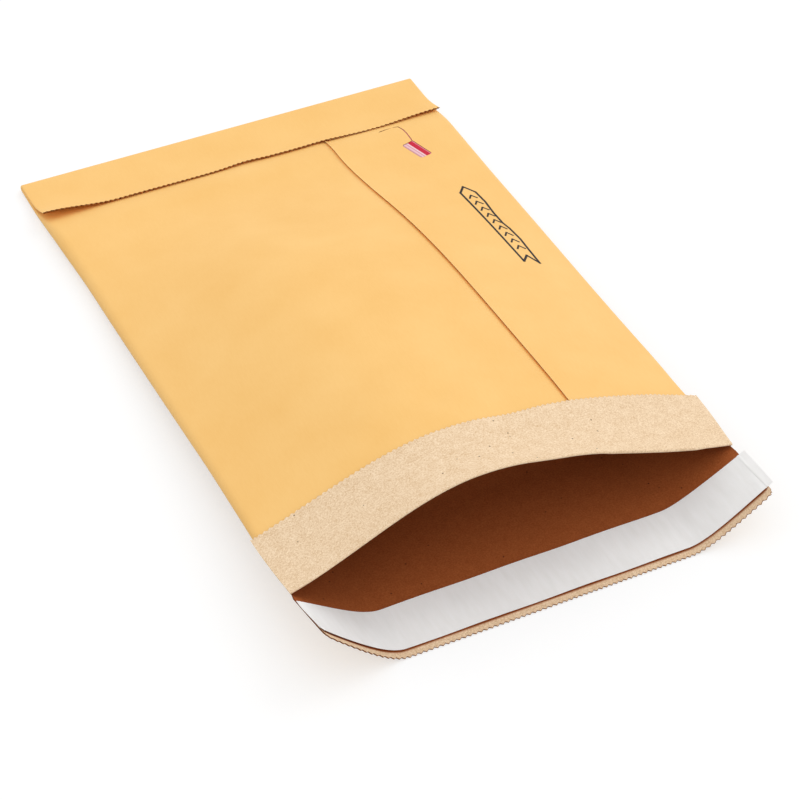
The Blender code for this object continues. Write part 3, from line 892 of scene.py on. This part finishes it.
def window_cutter():
    """Block with rounded upright edges, in the place of the tab window."""
    bpy.ops.mesh.primitive_cube_add(size=1.0, location=(WINDOW_X, WINDOW_Y, WINDOW_HEIGHT))
    cutter = bpy.context.object
    cutter.scale = (WINDOW_WIDTH, WINDOW_LENGTH, SIDE_RADIUS)
    cutter.rotation_euler.z = WINDOW_TURN
    bpy.ops.object.transform_apply(location=False, rotation=False, scale=True)
    weights = cutter.data.attributes.new("bevel_weight_edge", "FLOAT", "EDGE")
    for edge in cutter.data.edges:
        low, high = (cutter.data.vertices[index].co.z for index in edge.vertices)
        weights.data[edge.index].value = 1.0 if abs(low - high) > WINDOW_CORNER else 0.0
    apply_modifier(cutter, "BEVEL", width=WINDOW_CORNER, segments=4, limit_method="WEIGHT")
    return cutter


def thumb_cutter():
    """Thin upright wall along the thumb cut."""
    heights = (WINDOW_HEIGHT - SIDE_RADIUS / 2, WINDOW_HEIGHT + SIDE_RADIUS / 2)
    cutter = add_panel(THUMB_CUT, heights, lambda place, height: (*place, height))
    apply_modifier(cutter, "SOLIDIFY", thickness=THUMB_CUT_WIDTH, offset=0.0)
    return cutter


def punch(sheet, cutter):
    """Cut the cutter's shape out of the sheet and remove the cutter."""
    for material in (gold, cut_edge):
        cutter.data.materials.append(material)
    for face in cutter.data.polygons:
        face.material_index = 1
    make_active(sheet)
    apply_modifier(sheet, "BOOLEAN", operation="DIFFERENCE", solver="EXACT", object=cutter)
    bpy.data.objects.remove(cutter)


outer_sleeve = outer_sheet()
punch(outer_sleeve, window_cutter())
punch(outer_sleeve, thumb_cutter())
finish_piece(outer_sleeve, "outer_sleeve")

# %% [markdown]
# ## Recycled tan paper
#
# The lining is unbleached recycled kraft. It is rougher than the outside and uneven in the
# small: light and dark flecks under a millimetre, and now and then a dark speck of old ink.
# The flecks come from two sizes of noise, and the specks from the small cores of a Voronoi
# pattern, which a surface meets only here and there. Inside the mailer the paper is drawn
# browner than on the cuff: painted shade, for the shadow in the pouch. An attribute named
# inside tells the finish how much.

# %% Tan recycled finish
FLECK_SIZE = 0.0006
PATCH_SIZE = 0.0040
SPECK_SPACING = 0.0070
SPECK_RADIUS = 0.00040
SPECK_CORE = 0.6
SPECK_COVER = 0.75


def tan_kraft():
    material, tree, shader, place = new_material(
        "unglazed recycled kraft paper", roughness=0.80, specular=0.18,
    )
    flecks = add_node(
        tree, "ShaderNodeTexNoise", {"Scale": 1 / FLECK_SIZE, "Detail": 2.0, "Roughness": 0.7},
        {"Vector": place},
    )
    patches = add_node(
        tree, "ShaderNodeTexNoise", {"Scale": 1 / PATCH_SIZE, "Detail": 2.0}, {"Vector": place},
    )
    tone = add_node(
        tree, "ShaderNodeMix", {"Factor": 0.18},
        {2: flecks.outputs["Fac"], 3: patches.outputs["Fac"]},
    )
    colour = add_node(
        tree, "ShaderNodeValToRGB", {}, {"Fac": tone.outputs[0]},
        stops=((0.30, "#D9B58A"), (0.66, "#FFE6C5")),
    )
    cores = add_node(
        tree, "ShaderNodeTexVoronoi", {"Scale": 1 / SPECK_SPACING}, {"Vector": place},
    )
    radius = SPECK_RADIUS / SPECK_SPACING
    speck = add_node(
        tree, "ShaderNodeMapRange", {1: SPECK_CORE * radius, 2: radius, 3: SPECK_COVER, 4: 0.0},
        {"Value": cores.outputs["Distance"]},
    )
    speckled = add_node(
        tree, "ShaderNodeMix", {"data_type": "RGBA", 7: linear("#3C2012")},
        {0: speck.outputs["Result"], 6: colour.outputs["Color"]},
    )
    # Painted shade: where the attribute inside is high, the colour is multiplied towards brown.
    inside = add_node(tree, "ShaderNodeAttribute", {"attribute_name": "inside"})
    painted_shade_mix = add_node(
        tree, "ShaderNodeMix",
        {"data_type": "RGBA", "blend_type": "MULTIPLY", 7: linear("#B06C42")},
        {0: inside.outputs["Fac"], 6: speckled.outputs[2]},
    )
    tree.links.new(painted_shade_mix.outputs[2], shader.inputs["Base Color"])
    bump = add_node(
        tree, "ShaderNodeBump", {"Strength": 0.4, "Distance": 0.0001},
        {"Height": tone.outputs[0]},
    )
    tree.links.new(bump.outputs["Normal"], shader.inputs["Normal"])
    return material


tan = tan_kraft()
print("finish:", tan.name)

# %% [markdown]
# ## The lining
#
# A closed tube inside the padding that also faces the cuff and the flap. Both cut edges are
# serrated. It is made like the sleeve, one layer further in. Its painted shade, a brown tone for
# the shadow in the pouch, is full there, fades out round the mouth fold and ends on the flap in
# a fine painted shadow line along the liner.

# %% Lining
# Share of the painted shade on the flap beyond the liner
STRIP_PAINTED_SHADE = 0.12


def painted_shade_inside(v):
    """Share of the painted shade; it ends in a fine painted shadow line along the liner's outer
    edge.
    """
    return mix(STRIP_PAINTED_SHADE, 1.0, ease((v + LINER_STOP + PAINTED_SHADOW_LINE) / PAINTED_SHADOW_LINE))


def painted_shade_at_fold(v):
    """The painted shade fades out round the mouth fold, so the cuff's face has none."""
    return ease(1.0 + 2.0 * v / MOUTH_FOLD_PAPER)


def lining_sheet():
    columns = tube_columns()
    front = picked(columns, LEFT_SLIT, RIGHT_SLIT + ROUND)
    back = picked(columns, RIGHT_SLIT, LEFT_SLIT)
    rows = body_rows(POUCH_LENGTH - INNER_PAPER_END)
    tube = laid_at(lay_tube, inner_depth)
    cuff = laid_at(lay_cuff, inner_depth)
    flap = laid_at(lay_rounded_flap, inner_depth)
    panels = [
        add_panel(columns, rows, tube, tone=painted_shade_inside),
        add_panel(front, cuff_rows(), cuff, toothed_row=0, tone=painted_shade_at_fold),
        add_panel(back, flap_rows(), flap, toothed_row=0, tone=painted_shade_inside),
    ]
    return join_panels("tan_paper_lining", panels, PLY, tan, cut_edge)


lining = lining_sheet()
finish_piece(lining, "inner_paper")

# %% [markdown]
# ## Fibre padding
#
# Between the papers lies macerated newsprint. It is sealed in, but a part that is cut open or
# seen from inside still needs it, so it gets a plain closed layer and a loose grey look. It
# keeps a small clearance from both papers, so that it shows through nowhere.

# %% Fibre padding
WAD_SIZE = 0.0020
PADDING_COLUMN_SKIP = 3
PADDING_CLEARANCE = 0.00035
THINNEST_FILL = 0.03


def padding_fill(y):
    """Share of the padding's full thickness that fits between the papers."""
    left = (PADDING + GAP) * padding_share(y) - GAP - 2 * PADDING_CLEARANCE
    return max(left / PADDING, THINNEST_FILL)


def padding_layer():
    columns = tube_columns()
    columns = columns[:-1:PADDING_COLUMN_SKIP] + columns[-1:]
    ramp = RAMP_START * PADDING_RAMP
    rows = ruled([PADDING_START + ramp, PADDING_STOP - ramp], ROW_STEP * 2)
    lay = laid_at(lay_tube, lambda q, v: LAYER + recess(q) + PADDING_CLEARANCE)
    fibre = noise_finish(
        "shredded newsprint fibre", roughness=0.95, specular=0.10, sizes=(WAD_SIZE,) * 3,
        stops=((0.35, "#6E665C"), (0.65, "#B4AA9B")),
        relief={"Strength": 0.8, "Distance": 0.0005}, Detail=5.0, Roughness=0.7,
    )
    panels = [add_panel(columns, rows, lay)]
    return join_panels("fibre_wadding", panels, PADDING, fibre, fibre, padding_fill)


padding = padding_layer()
finish_piece(padding, "fibre_padding")

# %% [markdown]
# ## Tear tape
#
# A narrow polymer film runs under the outer paper. In the window its end stands up level with
# the gold paper, as a pink pull tab with a red stripe. The stripes follow the tab, which the
# die cuts a few degrees askew, so the pattern is turned with the window by a Mapping node.

# %% Tear tape
TAB_SLOPE = 0.0005
TAPE_LEFT_EXTRA = 0.3 * SEAM_RAMP
TAPE_RIGHT_EXTRA = 0.9 * SEAM_RAMP
# Colours across the tab, each from its share of the width on
TAB_BANDS = (
    (0.00, "#D99AA8"), (0.12, "#EEC3C8"), (0.28, "#DE97A6"), (0.36, "#F2CDD0"),
    (0.50, "#CE1238"), (0.86, "#E8838F"),
)


def tape_film():
    material, tree, shader, place = new_material(
        "printed tear tape film", roughness=0.42, specular=0.20,
    )
    centre = (WINDOW_X, WINDOW_Y, 0.0)
    turned = add_node(
        tree, "ShaderNodeMapping",
        {"vector_type": "TEXTURE", "Location": centre, "Rotation": (0.0, 0.0, WINDOW_TURN)},
        {"Vector": place},
    )
    split = add_node(tree, "ShaderNodeSeparateXYZ", {}, {"Vector": turned.outputs["Vector"]})
    across = add_node(
        tree, "ShaderNodeMapRange", {1: -WINDOW_WIDTH / 2, 2: WINDOW_WIDTH / 2},
        {"Value": split.outputs["X"]},
    )
    bands = add_node(
        tree, "ShaderNodeValToRGB", {}, {"Fac": across.outputs["Result"]}, stops=TAB_BANDS,
    )
    bands.color_ramp.interpolation = "CONSTANT"
    tree.links.new(bands.outputs["Color"], shader.inputs["Base Color"])
    return material


def tab_height(x, y):
    """How far the film stands up into the window, from 0 under the paper to 1 inside."""
    away_x, away_y = x - WINDOW_X, y - WINDOW_Y
    across = away_x * math.cos(WINDOW_TURN) + away_y * math.sin(WINDOW_TURN)
    along = away_y * math.cos(WINDOW_TURN) - away_x * math.sin(WINDOW_TURN)
    height = ease((WINDOW_WIDTH / 2 - abs(across)) / TAB_SLOPE)
    return height * ease((WINDOW_LENGTH / 2 - abs(along)) / TAB_SLOPE)


def lay_tape(q, v):
    """The film lies under the outer paper and stands up into the window, as the pull tab."""
    x, y, height = lay_tube(q, v, LAYER)
    return lay_tube(q, v, LAYER * (1.0 - tab_height(x, y)))


def tape_strip():
    half = WINDOW_LENGTH / 2 + TAB_SLOPE
    left, right = TAPE_LEFT_COLUMN - TAPE_LEFT_EXTRA, TAPE_RIGHT_COLUMN + TAPE_RIGHT_EXTRA
    columns = ruled([left, right], COLUMN_STEP / 4)
    rows = ruled([TAPE_START, WINDOW_V - half], ROW_STEP)
    rows += ruled([WINDOW_V - half, WINDOW_V + half], TAB_SLOPE)[1:]
    rows += ruled([WINDOW_V + half, POUCH_LENGTH - TAPE_END], ROW_STEP)[1:]
    film = tape_film()
    panels = [add_panel(columns, rows, lay_tape)]
    return join_panels("tear_tape_film", panels, STRIP_THICKNESS, film, film)


tape = tape_strip()
finish_piece(tape, "tear_tape")

# %% [markdown]
# ## Adhesive and release liner
#
# The flap carries a band of tacky adhesive under a strip of silicone-coated paper. The strip
# is grey-white and smoother than the kraft. It is stuck only in the middle, so it ripples
# slightly, and its long edges stand a little proud of the flap. Both its ends stand over the
# flap, the right one further, as a grip.

# %% Adhesive and release liner
LINER_RIPPLE = 0.00012
LINER_RIPPLE_LENGTH = 0.0031
LINER_RIPPLE_SKEW = 3.0
LINER_EDGE_LIFT = 0.00030
LINER_EDGE_POWER = 4
STRING_SIZE = 0.0015
COCKLE_WIDTH = 0.0022
COCKLE_LENGTH = 0.012
GLUE_DEPTH = 2 * LAYER


def liner_end(hand):
    """Column that lies past the flap's edge by the liner's overhang."""
    section = section_at(-LINER_START)
    slit = RIGHT_SLIT if hand > 0 else LEFT_SLIT
    return slit - hand * LINER_OVERHANG[hand] / section.fold_paper(section.sides[hand])


def flap_strip(name, start, width, depth, stops, finish):
    """A strip along the flap's inner face, ruled like the flap so that it lies close."""
    inner = picked(tube_columns(), max(stops[0], RIGHT_SLIT), min(stops[1], LEFT_SLIT))
    columns = sorted({stops[0], *inner, stops[1]})
    rows = ruled([-(start + width), -start], width / 8)
    panel = add_panel(columns, rows, laid_at(lay_flap, depth))
    return join_panels(name, [panel], STRIP_THICKNESS, finish, finish)


def liner_depth(q, v):
    """The liner ripples away from the glue, and its long edges stand off the flap."""
    across = (-v - LINER_START) / LINER_WIDTH
    ripple = 1.0 + math.sin(q / LINER_RIPPLE_LENGTH * HALF_WIDTH / 2.0 + LINER_RIPPLE_SKEW * across)
    off = LINER_EDGE_LIFT * (2.0 * across - 1.0) ** LINER_EDGE_POWER
    return GLUE_DEPTH + STRIP_THICKNESS + GAP + LINER_RIPPLE * ripple + off


tacky_adhesive = noise_finish(
    "clear pressure-sensitive adhesive", roughness=0.12, specular=0.50,
    sizes=(STRING_SIZE,) * 3, stops=((0.0, "#E2DCC8"), (1.0, "#F2EEE2")),
)
release_paper = noise_finish(
    "silicone-coated release paper", roughness=0.48, specular=0.30,
    sizes=(COCKLE_WIDTH, COCKLE_LENGTH, COCKLE_LENGTH),
    stops=((0.25, "#F6F5F3"), (0.75, "#FDFCFB")), relief={"Strength": 0.25, "Distance": 0.0002},
)
adhesive = flap_strip(
    "flap_adhesive", ADHESIVE_START, ADHESIVE_WIDTH, lambda q, v: GLUE_DEPTH,
    (2.0, LEFT_SLIT), tacky_adhesive,
)
finish_piece(adhesive, "adhesive_strip")
liner = flap_strip(
    "flap_release_liner", LINER_START, LINER_WIDTH, liner_depth,
    (liner_end(1), liner_end(-1)), release_paper,
)
finish_piece(liner, "release_liner")

# %% [markdown]
# ## Printed arrow
#
# Beside the tape a thin pennant with plain chevrons points to the tab. Ink has no thickness to
# speak of, so each stroke is a narrow ribbon that lies 0.03 mm proud of the paper and follows
# its arch.

# %% Printed arrow
INK_HEIGHT = 0.00003
OUTLINE_WIDTH = 0.00100
CHEVRON_STROKE = 0.00080
CHEVRON_COUNT = 9
CHEVRON_HALF_WIDTH = 0.0017
CHEVRON_RISE = 0.0024
STROKE_STEP = 0.0012
WEAR_SIZE = 0.0012
# Corners of the pennant: x and y
PENNANT = (
    (0.0726, 0.0649), (0.0690, 0.0602), (0.0684, 0.0029), (0.0720, 0.0073), (0.0747, 0.0012),
    (0.0753, 0.0116), (0.0759, 0.0201), (0.0755, 0.0287), (0.0747, 0.0332), (0.0749, 0.0416),
    (0.0759, 0.0512), (0.0757, 0.0595), (0.0726, 0.0649),
)


def on_paper(x, y):
    """Point on the printed face of the front panel, just above the paper."""
    section = section_at(round(y + CENTRE_Y, 5))
    q = x / section.panel_end(section.sides[1])
    x, height = inset_point(section, y + CENTRE_Y, q, -INK_HEIGHT)
    return x, y, height


def stroke(start, end, width):
    """A ribbon of ink between two places on the front panel."""
    length = math.dist(start, end)
    ahead_x, ahead_y = (end[0] - start[0]) / length, (end[1] - start[1]) / length
    step = (length + width) / max(1, round(length / STROKE_STEP))

    def lay(run, off):
        x = start[0] + ahead_x * run - ahead_y * off
        return on_paper(x, start[1] + ahead_y * run + ahead_x * off)

    return add_panel(ruled([-width / 2, length + width / 2], step), (-width / 2, width / 2), lay)


def printed_arrow():
    strokes = [stroke(start, end, OUTLINE_WIDTH) for start, end in zip(PENNANT, PENNANT[1:])]
    centre_x = (PENNANT[1][0] + PENNANT[-2][0]) / 2
    first, last = PENNANT[3][1], PENNANT[1][1]
    for number in range(CHEVRON_COUNT):
        y = first + (last - first) * (number + 1) / (CHEVRON_COUNT + 1)
        tip = (centre_x, y + CHEVRON_RISE)
        for hand in (-1, 1):
            strokes.append(stroke((centre_x + hand * CHEVRON_HALF_WIDTH, y), tip, CHEVRON_STROKE))
    return join_parts("printed_arrow", strokes)


arrow = printed_arrow()
ink = noise_finish(
    "dark brown printing ink", roughness=0.55, specular=0.30, sizes=(WEAR_SIZE,) * 3,
    stops=((0.45, "#080403"), (0.95, "#3A1A12")),
)
arrow.data.materials.append(ink)
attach(arrow, "root")
print("strokes in the printed arrow:", len(PENNANT) - 1 + 2 * CHEVRON_COUNT)

# %% [markdown]
# ## Floor and light
#
# The envelope lies on a white table in a bright room. A large soft lamp stands behind it to
# the right, so its shadow falls to the front left. The floor is white paper; what the camera
# sees of it gets a little light of its own, so that it reaches pure white and still shows
# the shadow.

# %% Floor and light
FLOOR_SIZE = 6.0
FLOOR_DROP = 0.0002
FLOOR_GLOW = 0.53
WORLD_STRENGTH = 0.93
LAMP_STRENGTH = 0.48
LAMP_SPREAD = math.radians(45)
LAMP_TILT = math.radians(57)
LAMP_TURN = math.radians(112)


def white_floor():
    material, tree, shader, place = new_material("white table paper", roughness=0.9, specular=0.0)
    shader.inputs["Base Color"].default_value = linear("#BDBDBD")
    rays = add_node(tree, "ShaderNodeLightPath", {})
    seen = add_node(
        tree, "ShaderNodeMath", {"operation": "MAXIMUM"},
        {0: rays.outputs["Is Camera Ray"], 1: rays.outputs["Is Glossy Ray"]},
    )
    glow = add_node(
        tree, "ShaderNodeMath", {"operation": "MULTIPLY", 1: FLOOR_GLOW}, {0: seen.outputs[0]},
    )
    shader.inputs["Emission Color"].default_value = linear("#FFFFFF")
    tree.links.new(glow.outputs[0], shader.inputs["Emission Strength"])
    return material


def add_floor():
    bpy.ops.mesh.primitive_plane_add(size=FLOOR_SIZE, location=(0.0, 0.0, -FLOOR_DROP))
    floor = bpy.context.object
    floor.name = "floor"
    floor.data.materials.append(white_floor())


def light_world():
    """Even white light from all round, which the camera itself sees as pure white."""
    world = bpy.data.worlds.new("white room")
    bpy.context.scene.world = world
    world.use_nodes = True
    tree = world.node_tree
    background = tree.nodes["Background"]
    background.inputs["Color"].default_value = linear("#FFFFFF")
    rays = add_node(tree, "ShaderNodeLightPath", {})
    strength = add_node(
        tree, "ShaderNodeMix", {2: WORLD_STRENGTH, 3: 1.0},
        {0: rays.outputs["Is Camera Ray"]},
    )
    tree.links.new(strength.outputs[0], background.inputs["Strength"])


def add_lamp():
    bpy.ops.object.light_add(type="SUN")
    lamp = bpy.context.object
    lamp.data.energy = LAMP_STRENGTH
    lamp.data.angle = LAMP_SPREAD
    lamp.rotation_euler = (LAMP_TILT, 0.0, LAMP_TURN)


add_floor()
light_world()
add_lamp()
bpy.context.scene.view_settings.view_transform = "Standard"
print("lamp", LAMP_STRENGTH, "world", WORLD_STRENGTH)
